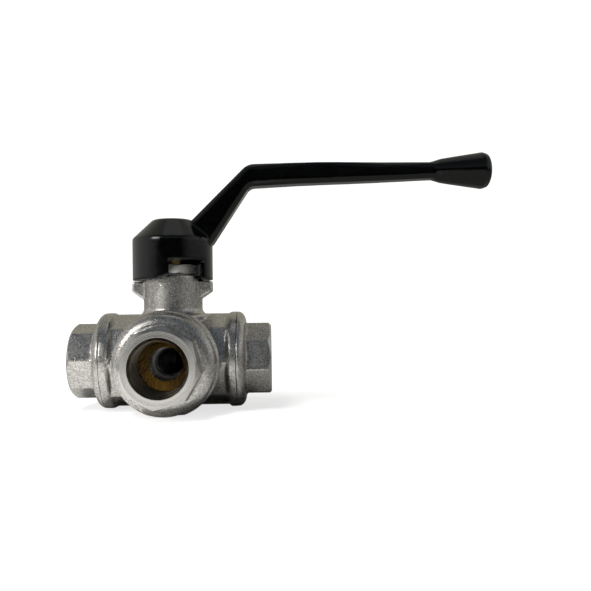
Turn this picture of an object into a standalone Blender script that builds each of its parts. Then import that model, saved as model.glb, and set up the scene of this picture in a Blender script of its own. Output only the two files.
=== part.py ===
"""Three-way ball valve, G 1/2 female ends, with a cast lever handle.

+Z is up the stem and +X is along the lever at rest. The origin is the centre of the flat
pad under the body, on the stem's axis. The two run ports face -X and +X, the common port
faces -Y, and the wall behind the ball closes the +Y side. The ball has an L-shaped bore.
"""

import math

import bmesh
import bpy
from mathutils import Matrix, Vector

MM = 0.001

# Driving dimensions, in millimetres. Radii and distances along a port are measured from
# the ball's centre; heights above PORT_HEIGHT are measured from the pad.
PORT_HEIGHT = 18.4
PORT_REACH = 38.8
BODY_VERTEX_RADIUS = 18.2
RIM_RADIUS = 18.75
RIM_START = 22.8
RIM_END = 25.4
FLANGE_END = 28.8
FRONT_BOSS_RADIUS = 19.9
FRONT_BOSS_START = 18.5
FRONT_BOSS_END = 21.6
LOWEST_FORGED = -0.25
END_VERTEX_RADIUS = 14.61
END_TURNS_DEG = {"left": 4.5, "right": -13.4, "front": -8.0}
FACE_RADIUS = 13.0
MOUTH_RADIUS = 10.7
PIPE_THREAD_RADIUS = 9.35
PIPE_THREAD_END = 24.0
THROAT_RADIUS = 6.2
SPIGOT_RADIUS = 13.9
SEAT_OUTER_RADIUS = 8.8
SEAT_BACK = 11.9
BALL_RADIUS = 10.3
BALL_BORE_RADIUS = 5.0
CHAMBER_RADIUS = 11.4
FIT_GAP = 0.15

NECK_RADIUS = 11.5
NECK_TOP = 33.2
NECK_FILLET = 2.4
GLAND_THREAD_RADIUS = 8.3
PACKING_FLOOR = 24.0
STEM_RADIUS = 5.0
STEM_COLLAR_RADIUS = 6.2
STEM_SQUARE = 7.2
STEM_THREAD_RADIUS = 2.95
STEM_TOP = 56.0
GLAND_NUT_ACROSS_FLATS = 18.0
GLAND_NUT_TURN_DEG = 20.6

HOOD_RADIUS = 15.75
HOOD_INNER_RADIUS = 13.4
SKIRT_BOTTOM = 31.4
HOOD_ROOF = 42.0
HOOD_SHOULDER = 47.6
HOOD_TOP = 55.6
HOOD_TOP_RADIUS = 7.9
NUT_RECESS_RADIUS = 6.15
NUT_RECESS_FLOOR = 50.0
WINDOW_TOP = 38.9
WINDOW_START_DEG = -87.8
WINDOW_END_DEG = -31.0
STOP_RIBS_DEG = (72.5, 197.5)
ARM_HALF_WIDTHS = {0.0: 6.0, 14.0: 5.8, 34.0: 5.0, 105.0: 4.1}
ARM_TOP = 77.2
KNOB_START = 105.0
KNOB_AXIS = 74.4
KNOB_RADIUS = 7.4
HANDLE_REACH = 128.3

ROUND = 48
SMALL_ROUND = 32
PORT_DIRECTIONS = {"left": Vector((-1, 0, 0)), "right": Vector((1, 0, 0)), "front": Vector((0, -1, 0))}
REAR = Vector((0, 1, 0))


# ---- Making and joining shapes ----------------------------------------------------------


def clear_scene():
    for obj in list(bpy.data.objects):
        bpy.data.objects.remove(obj, do_unlink=True)


def new_collection(name):
    made = bpy.data.collections.new(name)
    bpy.context.scene.collection.children.link(made)
    return made


def tool_object(name, mesh):
    """An object that only shapes another one."""
    obj = bpy.data.objects.new(name, mesh)
    TOOLS.objects.link(obj)
    obj.hide_render = True
    obj.display_type = "WIRE"
    return obj


def mesh_from(name, bm):
    mesh = bpy.data.meshes.new(name)
    bm.to_mesh(mesh)
    bm.free()
    return mesh


def turned(name, profile, steps=ROUND):
    """A turned shape about local Z. The profile is (radius, height) in mm, and runs down its outer side."""
    mesh = bpy.data.meshes.new(name)
    points = [(r * MM, 0.0, h * MM) for r, h in profile]
    edges = [(i, i + 1) for i in range(len(points) - 1)]
    if profile[0][0] > 0:
        edges.append((len(points) - 1, 0))
    mesh.from_pydata(points, edges, [])
    obj = tool_object(name, mesh)
    screw = obj.modifiers.new("turn", "SCREW")
    screw.steps = steps
    screw.render_steps = steps
    screw.use_merge_vertices = True
    screw.merge_threshold = 0.00001
    return obj


def rod(name, radius, start, end, steps=SMALL_ROUND):
    return turned(name, [(0, end), (radius, end), (radius, start), (0, start)], steps)


def prism(name, sides, vertex_radius, start, end):
    """A regular prism about local Z, with a corner on local +X."""
    bm = bmesh.new()
    bmesh.ops.create_cone(
        bm,
        cap_ends=True,
        segments=sides,
        radius1=vertex_radius * MM,
        radius2=vertex_radius * MM,
        depth=(end - start) * MM,
        matrix=Matrix.Translation((0, 0, (start + end) / 2 * MM)),
    )
    first = bm.verts[:][0].co
    bmesh.ops.rotate(bm, verts=bm.verts, matrix=Matrix.Rotation(-math.atan2(first.y, first.x), 3, "Z"))
    return tool_object(name, mesh_from(name, bm))


def box(name, low, high):
    bm = bmesh.new()
    bmesh.ops.create_cube(bm, size=1.0)
    size = [(b - a) * MM for a, b in zip(low, high)]
    centre = [(a + b) / 2 * MM for a, b in zip(low, high)]
    bmesh.ops.scale(bm, vec=size, verts=bm.verts)
    bmesh.ops.translate(bm, vec=centre, verts=bm.verts)
    return tool_object(name, mesh_from(name, bm))


def side_plate(name, outline, half_width):
    """A plate in the XZ plane, with its outline in mm and its thickness along Y."""
    curve = bpy.data.curves.new(name, "CURVE")
    curve.dimensions = "2D"
    curve.fill_mode = "BOTH"
    curve.extrude = half_width * MM
    spline = curve.splines.new("POLY")
    spline.points.add(len(outline) - 1)
    for point, (x, z) in zip(spline.points, outline):
        point.co = (x * MM, z * MM, 0, 1)
    spline.use_cyclic_u = True
    curve_obj = tool_object(name, curve)
    curve_obj.rotation_euler = (math.radians(90), 0, 0)
    bpy.context.view_layer.update()
    mesh = bpy.data.meshes.new_from_object(curve_obj.evaluated_get(bpy.context.evaluated_depsgraph_get()))
    mesh.transform(curve_obj.matrix_world)
    bpy.data.objects.remove(curve_obj)
    bm = bmesh.new()
    bm.from_mesh(mesh)
    bmesh.ops.remove_doubles(bm, verts=bm.verts, dist=0.00001)
    bmesh.ops.recalc_face_normals(bm, faces=bm.faces)
    return tool_object(name, mesh_from(name, bm))


def tapered(obj, half_widths):
    """Gives a plate of half width 1 mm the half widths listed against X, with straight lines between."""
    stations = sorted(half_widths)
    bm = bmesh.new()
    bm.from_mesh(obj.data)
    for station in stations[1:-1]:
        geometry = bm.verts[:] + bm.edges[:] + bm.faces[:]
        bmesh.ops.bisect_plane(bm, geom=geometry, plane_co=(station * MM, 0, 0), plane_no=(1, 0, 0))
    for vertex in bm.verts:
        x = min(max(vertex.co.x / MM, stations[0]), stations[-1])
        after = next(station for station in stations if station >= x - 0.001)
        before = max(station for station in stations if station <= x + 0.001)
        share = (x - before) / (after - before) if after > before else 0.0
        vertex.co.y *= half_widths[before] * (1 - share) + half_widths[after] * share
    bm.to_mesh(obj.data)
    bm.free()
    return obj


def combine(target, operation, *others):
    for other in others:
        boolean = target.modifiers.new(f"{operation.lower()} {other.name}", "BOOLEAN")
        boolean.operation = operation
        boolean.object = other
        boolean.solver = "EXACT"
    return target


def join(target, *others):
    return combine(target, "UNION", *others)


def cut(target, *others):
    return combine(target, "DIFFERENCE", *others)


def rounded(obj, width, segments=2, angle_deg=40):
    bevel = obj.modifiers.new("round", "BEVEL")
    bevel.width = width * MM
    bevel.segments = segments
    bevel.limit_method = "ANGLE"
    bevel.angle_limit = math.radians(angle_deg)
    return obj


def baked(obj, name):
    """The finished mesh of obj with its modifiers applied, in its own frame."""
    bpy.context.view_layer.update()
    mesh = bpy.data.meshes.new_from_object(obj.evaluated_get(bpy.context.evaluated_depsgraph_get()))
    mesh.name = name
    mesh.shade_smooth()
    mesh.set_sharp_from_angle(angle=math.radians(35))
    return mesh


def part(name, mesh, material, placed=None):
    """A finished piece. Its mesh may be shared; its place is the object's matrix."""
    obj = bpy.data.objects.new(name, mesh)
    VALVE.objects.link(obj)
    if not mesh.materials:
        mesh.materials.append(material)
    obj.matrix_world = placed or Matrix.Identity(4)
    return obj


def finish(name):
    """A Principled BSDF for one real finish."""
    colour, metallic, roughness = FINISHES[name]
    if name not in bpy.data.materials:
        material = bpy.data.materials.new(name)
        material.use_nodes = True
        shader = material.node_tree.nodes["Principled BSDF"]
        shader.inputs["Base Color"].default_value = (*colour, 1)
        shader.inputs["Metallic"].default_value = metallic
        shader.inputs["Roughness"].default_value = roughness
    return bpy.data.materials[name]


FINISHES = {
    "cast_nickel": ((0.62, 0.61, 0.58), 1.0, 0.42),
    "turned_nickel": ((0.70, 0.69, 0.66), 1.0, 0.25),
    "chromed_brass": ((0.80, 0.80, 0.80), 1.0, 0.08),
    "brass": ((0.72, 0.56, 0.30), 1.0, 0.30),
    "ptfe": ((0.88, 0.88, 0.86), 0.0, 0.45),
    "black_coat": ((0.012, 0.012, 0.013), 0.0, 0.28),
    "rubber": ((0.02, 0.02, 0.02), 0.0, 0.60),
    "zinc_steel": ((0.66, 0.69, 0.72), 1.0, 0.30),
}


# ---- Frames --------------------------------------------------------------------------------


def port_frame(direction, turn_deg=0.0):
    """Local +Z out of the port from the ball's centre, local +X level and turned about the port."""
    outward = direction.normalized()
    level = Vector((1, 0, 0)) if abs(outward.y) > 0.5 else Vector((0, -1, 0))
    up = Vector((0, 0, 1))
    turn = math.radians(turn_deg)
    across = math.cos(turn) * level + math.sin(turn) * up
    third = outward.cross(across)
    frame = Matrix((across, third, outward)).transposed().to_4x4()
    return Matrix.Translation((0, 0, PORT_HEIGHT * MM)) @ frame


def about_stem(angle_deg):
    return Matrix.Rotation(math.radians(angle_deg), 4, "Z")


def height(above_port):
    return PORT_HEIGHT + above_port


# ---- End adapters, seats and their seals ----------------------------------------------------


def end_adapter_mesh():
    """Octagonal female end, flange and threaded spigot, with the seat's pocket in its nose."""
    edge_round = 2.6
    arc = [
        (
            RIM_RADIUS - edge_round + edge_round * math.cos(math.radians(a)),
            FLANGE_END - edge_round + edge_round * math.sin(math.radians(a)),
        )
        for a in range(90, -1, -15)
    ]
    groove_floor, groove_start, groove_end = 12.3, 22.2, 24.2
    outside = turned(
        "adapter_outside",
        [(0, FLANGE_END)]
        + arc
        + [
            (RIM_RADIUS, RIM_END + FIT_GAP),
            (SPIGOT_RADIUS, RIM_END + FIT_GAP),
            (SPIGOT_RADIUS, groove_end),
            (groove_floor, groove_end),
            (groove_floor, groove_start),
            (SPIGOT_RADIUS, groove_start),
            (SPIGOT_RADIUS, SPIGOT_RADIUS + 2 * FIT_GAP),
            (SEAT_OUTER_RADIUS + FIT_GAP, SEAT_OUTER_RADIUS + 3 * FIT_GAP),
            (0, SEAT_OUTER_RADIUS + 3 * FIT_GAP),
        ],
    )
    octagon = prism("adapter_octagon", 8, END_VERTEX_RADIUS, FLANGE_END - 1, PORT_REACH)
    chamfer_drop = (END_VERTEX_RADIUS - FACE_RADIUS) * 0.8
    chamfer = turned(
        "adapter_chamfer",
        [
            (0, PORT_REACH),
            (FACE_RADIUS, PORT_REACH),
            (END_VERTEX_RADIUS + 0.1, PORT_REACH - chamfer_drop),
            (END_VERTEX_RADIUS + 0.1, FLANGE_END - 2),
            (0, FLANGE_END - 2),
        ],
    )
    combine(octagon, "INTERSECT", chamfer)
    passage = turned(
        "adapter_passage",
        [
            (0, PORT_REACH + 1),
            (MOUTH_RADIUS, PORT_REACH + 1),
            (MOUTH_RADIUS, PORT_REACH),
            (PIPE_THREAD_RADIUS, PORT_REACH - (MOUTH_RADIUS - PIPE_THREAD_RADIUS)),
            (PIPE_THREAD_RADIUS, PIPE_THREAD_END),
            (THROAT_RADIUS + 1.2, PIPE_THREAD_END - 2.2),
            (THROAT_RADIUS, PIPE_THREAD_END - 3.4),
            (THROAT_RADIUS, SEAT_BACK + FIT_GAP),
            (SEAT_OUTER_RADIUS + FIT_GAP, SEAT_BACK + FIT_GAP),
            (SEAT_OUTER_RADIUS + FIT_GAP, SEAT_OUTER_RADIUS - 2),
            (0, SEAT_OUTER_RADIUS - 2),
        ],
        SMALL_ROUND,
    )
    return baked(cut(join(outside, octagon), passage), "end_adapter")


def ball_seat_mesh():
    """Ring with a spherical face on the ball and a 45 degree back-off clear of its neighbours."""
    bore, lip = 5.6, 7.1
    contact = BALL_RADIUS + FIT_GAP
    face = [
        (r, math.sqrt(contact * contact - r * r))
        for r in (lip, (bore + 2 * lip) / 3, (2 * bore + lip) / 3, bore)
    ]
    nose = SEAT_OUTER_RADIUS + 2 * FIT_GAP
    ring = [(bore, SEAT_BACK), (SEAT_OUTER_RADIUS, SEAT_BACK), (SEAT_OUTER_RADIUS, nose)]
    return baked(turned("seat_ring", ring + face, SMALL_ROUND), "ball_seat")


def oring_mesh(name, centre_radius, section_radius, middle, steps):
    section = [
        (
            centre_radius + section_radius * math.cos(math.radians(a)),
            middle + section_radius * math.sin(math.radians(a)),
        )
        for a in range(90, -270, -36)
    ]
    return baked(turned(name + "_section", section, steps), name)


def build_ends():
    adapter = end_adapter_mesh()
    seat = ball_seat_mesh()
    oring = oring_mesh("adapter_oring", 13.2, 0.8, 23.2, ROUND)
    for side, direction in PORT_DIRECTIONS.items():
        frame = port_frame(direction, END_TURNS_DEG[side])
        part(f"{side}_end_adapter", adapter, finish("cast_nickel"), frame)
        part(f"{side}_adapter_oring", oring, finish("rubber"), frame)
        part(f"{side}_ball_seat", seat, finish("ptfe"), frame)
    part("rear_ball_seat", seat, finish("ptfe"), port_frame(REAR))


# ---- Body ---------------------------------------------------------------------------------------


def placed_tool(obj, frame):
    obj.matrix_world = frame
    return obj


def port_barrel(side, direction):
    """Outside of one port: a round barrel and the rim that the adapter's flange meets."""
    lead = 0.5
    rim = [
        (0, RIM_END),
        (RIM_RADIUS - lead, RIM_END),
        (RIM_RADIUS, RIM_END - lead),
        (RIM_RADIUS, RIM_START + lead),
    ]
    if side == "front":
        barrel_radius = BODY_VERTEX_RADIUS
        behind_rim = [
            (RIM_RADIUS, RIM_START),
            (FRONT_BOSS_RADIUS, FRONT_BOSS_END),
            (FRONT_BOSS_RADIUS, FRONT_BOSS_START),
            (barrel_radius, FRONT_BOSS_START - 2.0),
        ]
    else:
        barrel_radius = SPIGOT_RADIUS + 1
        behind_rim = [(RIM_RADIUS - lead, RIM_START), (barrel_radius, RIM_START - 0.01)]
    barrel = turned(f"{side}_barrel", rim + behind_rim + [(barrel_radius, 2.0), (0, 2.0)])
    placed_tool(barrel, port_frame(direction))
    if side == "front":
        cut(barrel, box("front_boss_flat", (-25, -30, -5), (25, 0, LOWEST_FORGED)))
    return barrel


def port_bore(side, direction):
    """Inside of one port: the spigot's thread, and a 45 degree end that opens into the next port."""
    radius, tip_radius = SPIGOT_RADIUS + FIT_GAP, 3.0
    opening = 0.4
    bore = turned(
        f"{side}_bore",
        [
            (0, RIM_END + 1),
            (radius, RIM_END + 1),
            (radius, radius - opening),
            (tip_radius, tip_radius - opening),
            (0, tip_radius - opening),
        ],
    )
    return placed_tool(bore, port_frame(direction))


def neck_outside():
    """The column under the handle, flared into the run by a fillet."""
    flare_centre = BODY_VERTEX_RADIUS + NECK_FILLET - 0.4
    fillet = [
        (
            NECK_RADIUS + NECK_FILLET - NECK_FILLET * math.cos(math.radians(a)),
            height(flare_centre - NECK_FILLET * math.sin(math.radians(a))),
        )
        for a in range(0, 91, 18)
    ]
    widest = fillet[-1][0]
    lead = 0.4
    top = height(NECK_TOP)
    return turned(
        "neck",
        [(0, top), (NECK_RADIUS - lead, top), (NECK_RADIUS, top - lead)]
        + fillet
        + [(widest, height(12)), (0, height(12))],
    )


def ear(side):
    """A lug under the skirt, on the +X or -X side of the neck."""
    reach, half_width = 15.4, 5.0
    outline = [(9.0, 23.4), (NECK_RADIUS + 0.4, 24.6), (reach, 27.0), (reach, 31.1), (9.0, 31.1)]
    points = [(side * x, height(z)) for x, z in outline]
    return side_plate(f"ear_{'right' if side > 0 else 'left'}", points, half_width)


def build_body():
    run = prism("run", 8, BODY_VERTEX_RADIUS, -RIM_START - 0.4, RIM_START + 0.4)
    placed_tool(run, port_frame(PORT_DIRECTIONS["right"]))
    pad = rod("bottom_pad", 6.0, 0, 6)
    stop_post = box("stop_post", (-1.7, 10.8, height(26)), (1.7, 13.0, height(38)))
    barrels = [port_barrel(*item) for item in PORT_DIRECTIONS.items()]
    join(run, *barrels, neck_outside(), pad, ear(-1), ear(1), stop_post)

    bores = [port_bore(*item) for item in PORT_DIRECTIONS.items()]
    chamber = turned(
        "chamber",
        [
            (CHAMBER_RADIUS * math.sin(math.radians(a)), CHAMBER_RADIUS * math.cos(math.radians(a)))
            for a in range(0, 181, 12)
        ],
        SMALL_ROUND,
    )
    placed_tool(chamber, Matrix.Translation((0, 0, PORT_HEIGHT * MM)))
    rear_pocket = rod("rear_pocket", SEAT_OUTER_RADIUS + FIT_GAP, 5, SEAT_BACK + FIT_GAP)
    placed_tool(rear_pocket, port_frame(REAR))
    stem_bore = turned(
        "stem_bore",
        [
            (0, height(NECK_TOP + 1)),
            (GLAND_THREAD_RADIUS, height(NECK_TOP + 1)),
            (GLAND_THREAD_RADIUS, height(PACKING_FLOOR)),
            (STEM_RADIUS + FIT_GAP, height(PACKING_FLOOR)),
            (STEM_RADIUS + FIT_GAP, height(14.5)),
            (STEM_COLLAR_RADIUS + 0.3, height(14.5)),
            (STEM_COLLAR_RADIUS + 0.3, height(7)),
            (0, height(7)),
        ],
        SMALL_ROUND,
    )
    cut(run, *bores, chamber, rear_pocket, stem_bore)
    frame = run.matrix_world.copy()
    part("valve_body", baked(run, "valve_body"), finish("cast_nickel"), frame)


# ---- Ball, stem and gland --------------------------------------------------------------------------


def build_ball():
    """Ball with an L-shaped bore from the front to the right, and the stem's slot on top."""
    bm = bmesh.new()
    bmesh.ops.create_uvsphere(bm, u_segments=32, v_segments=20, radius=BALL_RADIUS * MM)
    ball = tool_object("ball_blank", mesh_from("ball_blank", bm))
    centre = Matrix.Translation((0, 0, PORT_HEIGHT * MM))
    placed_tool(ball, centre)
    elbow = turned(
        "ball_elbow",
        [
            (BALL_BORE_RADIUS * math.sin(math.radians(a)), BALL_BORE_RADIUS * math.cos(math.radians(a)))
            for a in range(0, 181, 15)
        ],
        24,
    )
    placed_tool(elbow, centre)
    legs = []
    for side in ("front", "right"):
        leg = rod(f"ball_{side}_leg", BALL_BORE_RADIUS, 0, BALL_RADIUS + 2, 24)
        legs.append(placed_tool(leg, port_frame(PORT_DIRECTIONS[side])))
    slot = box("stem_slot", (-5.4, -2.3, height(7.0)), (5.4, 2.3, height(12)))
    cut(ball, elbow, *legs, slot)
    part("ball", baked(ball, "ball"), finish("chromed_brass"), centre)


def build_stem():
    """Tongue, blow-out collar, two O-ring grooves, square for the handle and a threaded end."""
    groove_floor, half_groove = 3.5, 1.0
    grooves = [17.2, 20.6]
    profile = [
        (0, STEM_TOP),
        (STEM_THREAD_RADIUS - 0.5, STEM_TOP),
        (STEM_THREAD_RADIUS, STEM_TOP - 0.5),
        (STEM_THREAD_RADIUS, NUT_RECESS_FLOOR - 0.4),
        (STEM_RADIUS, NUT_RECESS_FLOOR - 0.4),
    ]
    for middle in reversed(grooves):
        profile += [
            (STEM_RADIUS, middle + half_groove),
            (groove_floor, middle + half_groove),
            (groove_floor, middle - half_groove),
            (STEM_RADIUS, middle - half_groove),
        ]
    profile += [
        (STEM_RADIUS, 12.95),
        (STEM_COLLAR_RADIUS, 12.95),
        (STEM_COLLAR_RADIUS, 10.9),
        (0, 10.9),
    ]
    shaft = turned("stem_shaft", [(r, height(z)) for r, z in profile], SMALL_ROUND)
    tongue = box("stem_tongue", (-4.9, -2.0, height(7.3)), (4.9, 2.0, height(11.5)))
    join(shaft, tongue)
    half, reach = STEM_SQUARE / 2, STEM_RADIUS + 1
    square_start, square_end = height(40.5), height(NUT_RECESS_FLOOR)
    for quarter in range(4):
        flat = box(f"stem_flat_{quarter}", (half, -reach, square_start), (reach, reach, square_end))
        cut(shaft, placed_tool(flat, about_stem(90 * quarter)))
    part("stem", baked(shaft, "stem"), finish("brass"))

    for label, middle in zip(("lower", "upper"), grooves):
        oring = oring_mesh(f"stem_oring_{label}", 4.32, 0.74, height(middle), 24)
        part(f"stem_oring_{label}", oring, finish("rubber"))


def ring_part(name, inner, outer, start, end, material):
    profile = [(inner, height(end)), (outer, height(end)), (outer, height(start)), (inner, height(start))]
    part(name, baked(turned(f"{name}_ring", profile, SMALL_ROUND), name), finish(material))


def hex_nut_mesh(name, across_flats, bore, start, end, spigot=None):
    """A hexagon with chamfered corners and a bore, and a spigot below it where one is given."""
    vertex_radius = across_flats / 2 / math.cos(math.radians(30))
    crown = 0.6 * (vertex_radius - across_flats / 2)
    hexagon = prism(f"{name}_hexagon", 6, vertex_radius, height(start), height(end))
    corner = turned(
        f"{name}_corner",
        [
            (0, height(end)),
            (across_flats / 2, height(end)),
            (vertex_radius + 0.05, height(end - crown)),
            (vertex_radius + 0.05, height(start + crown)),
            (across_flats / 2, height(start)),
            (0, height(start)),
        ],
    )
    combine(hexagon, "INTERSECT", corner)
    if spigot:
        radius, bottom = spigot
        join(hexagon, rod(f"{name}_spigot", radius, height(bottom), height(start + 1)))
        cut(hexagon, rod(f"{name}_bore", bore, height(bottom - 1), height(end + 1)))
    else:
        cut(hexagon, rod(f"{name}_bore", bore, height(start - 1), height(end + 1)))
    return baked(hexagon, name)


def build_gland():
    clear = STEM_RADIUS + FIT_GAP
    packing_radius = GLAND_THREAD_RADIUS - FIT_GAP
    ring_part("stem_thrust_washer", clear, STEM_COLLAR_RADIUS, 13.1, 14.35, "ptfe")
    ring_part("packing_ring_lower", clear, packing_radius, 24.15, 25.55, "ptfe")
    ring_part("packing_ring_upper", clear, packing_radius, 25.7, 27.1, "ptfe")
    nut = hex_nut_mesh("gland_nut", GLAND_NUT_ACROSS_FLATS, clear, 33.7, 37.5, (packing_radius, 27.3))
    part("gland_nut", nut, finish("turned_nickel"), about_stem(GLAND_NUT_TURN_DEG - 90))


# ---- Handle -------------------------------------------------------------------------------------------


def arc_points(centre, radius, start_deg, end_deg, count):
    steps = [start_deg + (end_deg - start_deg) * i / (count - 1) for i in range(count)]
    return [
        (centre[0] + radius * math.cos(math.radians(a)), centre[1] + radius * math.sin(math.radians(a)))
        for a in steps
    ]


def arm_outline():
    """Side view of the arm, above the port's axis: 45 degrees up from the hood, then level."""
    outer_knee, inner_knee = 7.0, 3.6
    outer_centre = (33.2, ARM_TOP - outer_knee)
    inner_centre = (33.0, 64.7)
    return (
        [(3.0, 49.8), (8.0, 54.9)]
        + arc_points(outer_centre, outer_knee, 135, 92, 5)
        + [(60.0, ARM_TOP + 0.4), (KNOB_START, ARM_TOP + 0.4)]
        + [(KNOB_START, 71.1), (75.0, 69.9), (51.0, 69.2)]
        + arc_points(inner_centre, inner_knee, 95, 148, 4)
        + [(16.0, 45.6), (11.0, 44.8)]
    )


def hood():
    """Bell over the gland: cone, cylinder, skirt with two windows, and the stop ribs inside."""
    lead = 0.8
    shell = turned(
        "hood",
        [
            (0, height(HOOD_TOP)),
            (HOOD_TOP_RADIUS - 1.0, height(HOOD_TOP)),
            (HOOD_TOP_RADIUS + 0.2, height(HOOD_TOP - 0.5)),
            (HOOD_RADIUS - 0.2, height(HOOD_SHOULDER + 0.4)),
            (HOOD_RADIUS, height(HOOD_SHOULDER - lead)),
            (HOOD_RADIUS, height(SKIRT_BOTTOM)),
            (HOOD_INNER_RADIUS, height(SKIRT_BOTTOM)),
            (HOOD_INNER_RADIUS, height(HOOD_ROOF)),
            (0, height(HOOD_ROOF)),
        ],
    )
    rib_low = (10.9, -1.25, height(34.5))
    rib_high = (HOOD_INNER_RADIUS + 1, 1.25, height(HOOD_ROOF + 1))
    for index, angle in enumerate(STOP_RIBS_DEG):
        rib = box(f"stop_rib_{index}", rib_low, rib_high)
        join(shell, placed_tool(rib, about_stem(angle)))
    return shell


def skirt_window(name, turn_deg):
    """A sector cut out of the skirt, with the skirt's corner eased beside it."""
    start, end = math.radians(WINDOW_START_DEG), math.radians(WINDOW_END_DEG)
    inner, outer, steps = HOOD_INNER_RADIUS - 1.5, HOOD_RADIUS + 2, 6
    angles = [start + (end - start) * i / steps for i in range(steps + 1)]
    ring = [(outer * math.cos(a), outer * math.sin(a)) for a in angles]
    ring += [(inner * math.cos(a), inner * math.sin(a)) for a in reversed(angles)]
    bm = bmesh.new()
    floor = [bm.verts.new((x * MM, y * MM, height(SKIRT_BOTTOM - 2) * MM)) for x, y in ring]
    face = bm.faces.new(floor)
    lifted = bmesh.ops.extrude_face_region(bm, geom=[face])
    rising = [v for v in lifted["geom"] if isinstance(v, bmesh.types.BMVert)]
    bmesh.ops.translate(bm, vec=(0, 0, (WINDOW_TOP - SKIRT_BOTTOM + 2) * MM), verts=rising)
    bmesh.ops.recalc_face_normals(bm, faces=bm.faces)
    sector = tool_object(name, mesh_from(name, bm))
    placed_tool(sector, about_stem(turn_deg))

    ease = box(f"{name}_ease", (-14, -4, -6), (6, 4, 0))
    slope = Matrix.Rotation(math.radians(-20), 4, "Y")
    foot = Vector((-4.3 * MM, -HOOD_RADIUS * MM, height(SKIRT_BOTTOM) * MM))
    placed_tool(ease, about_stem(turn_deg) @ Matrix.Translation(foot) @ slope)
    return sector, ease


def knob():
    """The flared, round-ended grip at the end of the arm, turned about the arm's line."""
    start = KNOB_START - 3
    flare = [(0.0, start), (3.4, start), (3.7, start + 2), (4.9, start + 6), (KNOB_RADIUS, 124.6)]
    dome_rise = HANDLE_REACH - 126.0
    dome = [
        (6.9 * math.cos(math.radians(a)), 126.0 + dome_rise * math.sin(math.radians(a)))
        for a in range(0, 91, 15)
    ]
    profile = [(max(r, 0.0), x) for r, x in flare + dome[:-1]] + [(0.0, HANDLE_REACH)]
    grip = turned("knob", list(reversed(profile)), SMALL_ROUND)
    along = Matrix.Rotation(math.radians(90), 4, "Y")
    return placed_tool(grip, Matrix.Translation((0, 0, height(KNOB_AXIS) * MM)) @ along)


def build_handle():
    shell = hood()
    arm = side_plate("arm", [(x, height(z)) for x, z in arm_outline()], 1.0)
    rounded(tapered(arm, ARM_HALF_WIDTHS), 1.6, 2, 50)
    recess = rod("nut_recess", NUT_RECESS_RADIUS, height(NUT_RECESS_FLOOR), height(HOOD_TOP + 12))
    half = STEM_SQUARE / 2 + FIT_GAP
    square_start, square_end = height(HOOD_ROOF - 1), height(NUT_RECESS_FLOOR + 1)
    square = box("handle_square", (-half, -half, square_start), (half, half, square_end))
    join(shell, arm, knob())
    cut(shell, recess, square, *skirt_window("front_window", 0), *skirt_window("rear_window", 180))
    part("handle", baked(shell, "handle"), finish("black_coat"))


def build_handle_fastening():
    washer_profile = [(5.8, 51.45), (5.8, 50.2), (3.2, 50.2), (3.2, 51.45)]
    washer = turned("washer_ring", [(r, height(z)) for r, z in reversed(washer_profile)], SMALL_ROUND)
    split = box("washer_split", (0, -0.35, height(49)), (8, 0.35, height(53)))
    cut(washer, placed_tool(split, about_stem(60)))
    part("handle_spring_washer", baked(washer, "handle_spring_washer"), finish("zinc_steel"))
    nut = hex_nut_mesh("handle_nut", 10.0, STEM_THREAD_RADIUS + FIT_GAP, 51.7, 55.6)
    part("handle_nut", nut, finish("zinc_steel"), about_stem(12))


def main():
    build_ends()
    build_body()
    build_ball()
    build_stem()
    build_gland()
    build_handle()
    build_handle_fastening()


clear_scene()
VALVE = new_collection("three_way_valve")
TOOLS = new_collection("shaping_tools")
main()
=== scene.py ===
"""The looks of a three-way ball valve: nickel-plated forging and ends, and a black cast lever."""

import math

import bmesh
import bpy
from mathutils import Matrix, Vector, noise


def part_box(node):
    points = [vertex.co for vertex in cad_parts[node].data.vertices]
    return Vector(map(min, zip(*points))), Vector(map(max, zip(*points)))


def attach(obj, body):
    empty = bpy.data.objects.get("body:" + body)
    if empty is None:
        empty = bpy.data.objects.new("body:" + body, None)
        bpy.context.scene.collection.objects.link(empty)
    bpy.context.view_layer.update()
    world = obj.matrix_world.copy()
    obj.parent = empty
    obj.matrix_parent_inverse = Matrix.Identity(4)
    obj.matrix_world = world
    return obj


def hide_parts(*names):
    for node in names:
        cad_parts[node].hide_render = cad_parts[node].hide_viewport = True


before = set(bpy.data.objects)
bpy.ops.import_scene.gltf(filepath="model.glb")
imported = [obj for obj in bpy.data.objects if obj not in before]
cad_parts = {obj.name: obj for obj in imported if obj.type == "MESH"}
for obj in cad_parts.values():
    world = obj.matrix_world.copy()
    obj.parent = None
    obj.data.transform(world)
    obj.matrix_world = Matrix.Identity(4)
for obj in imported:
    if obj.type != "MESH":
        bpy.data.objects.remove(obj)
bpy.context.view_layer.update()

MM = 0.001
UP = Vector((0, 0, 1))

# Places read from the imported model.
FRONT_LOW, FRONT_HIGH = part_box("front_end_adapter")
HANDLE_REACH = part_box("handle")[1].x
PORT_HEIGHT = (FRONT_LOW.z + FRONT_HIGH.z) / 2
PORT_REACH = -FRONT_LOW.y
FLANGE_RADIUS = (FRONT_HIGH.z - FRONT_LOW.z) / 2
FLANGE_BACK = 25.46 * MM
FLANGE_END = 28.8 * MM
REST_HEIGHT = FRONT_LOW.z

# Ends
END_CORNER_RADIUS = 14.61 * MM
END_FACE_RADIUS = 13.0 * MM
END_TURNS = {"left": 4.5, "right": -13.4, "front": -8.0}
MOUTH_RADIUS = 10.7 * MM
THREAD_RADIUS = 9.35 * MM
THREAD_PITCH = 1.814 * MM
THREAD_END = 24.0 * MM
THROAT_RADIUS = 6.2 * MM
THROAT_START = 20.6 * MM
SPIGOT_RADIUS = 13.9 * MM
SEAT_RADIUS = 8.8 * MM
SEAT_BACK = 11.9 * MM
FIT_GAP = 0.15 * MM

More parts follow.
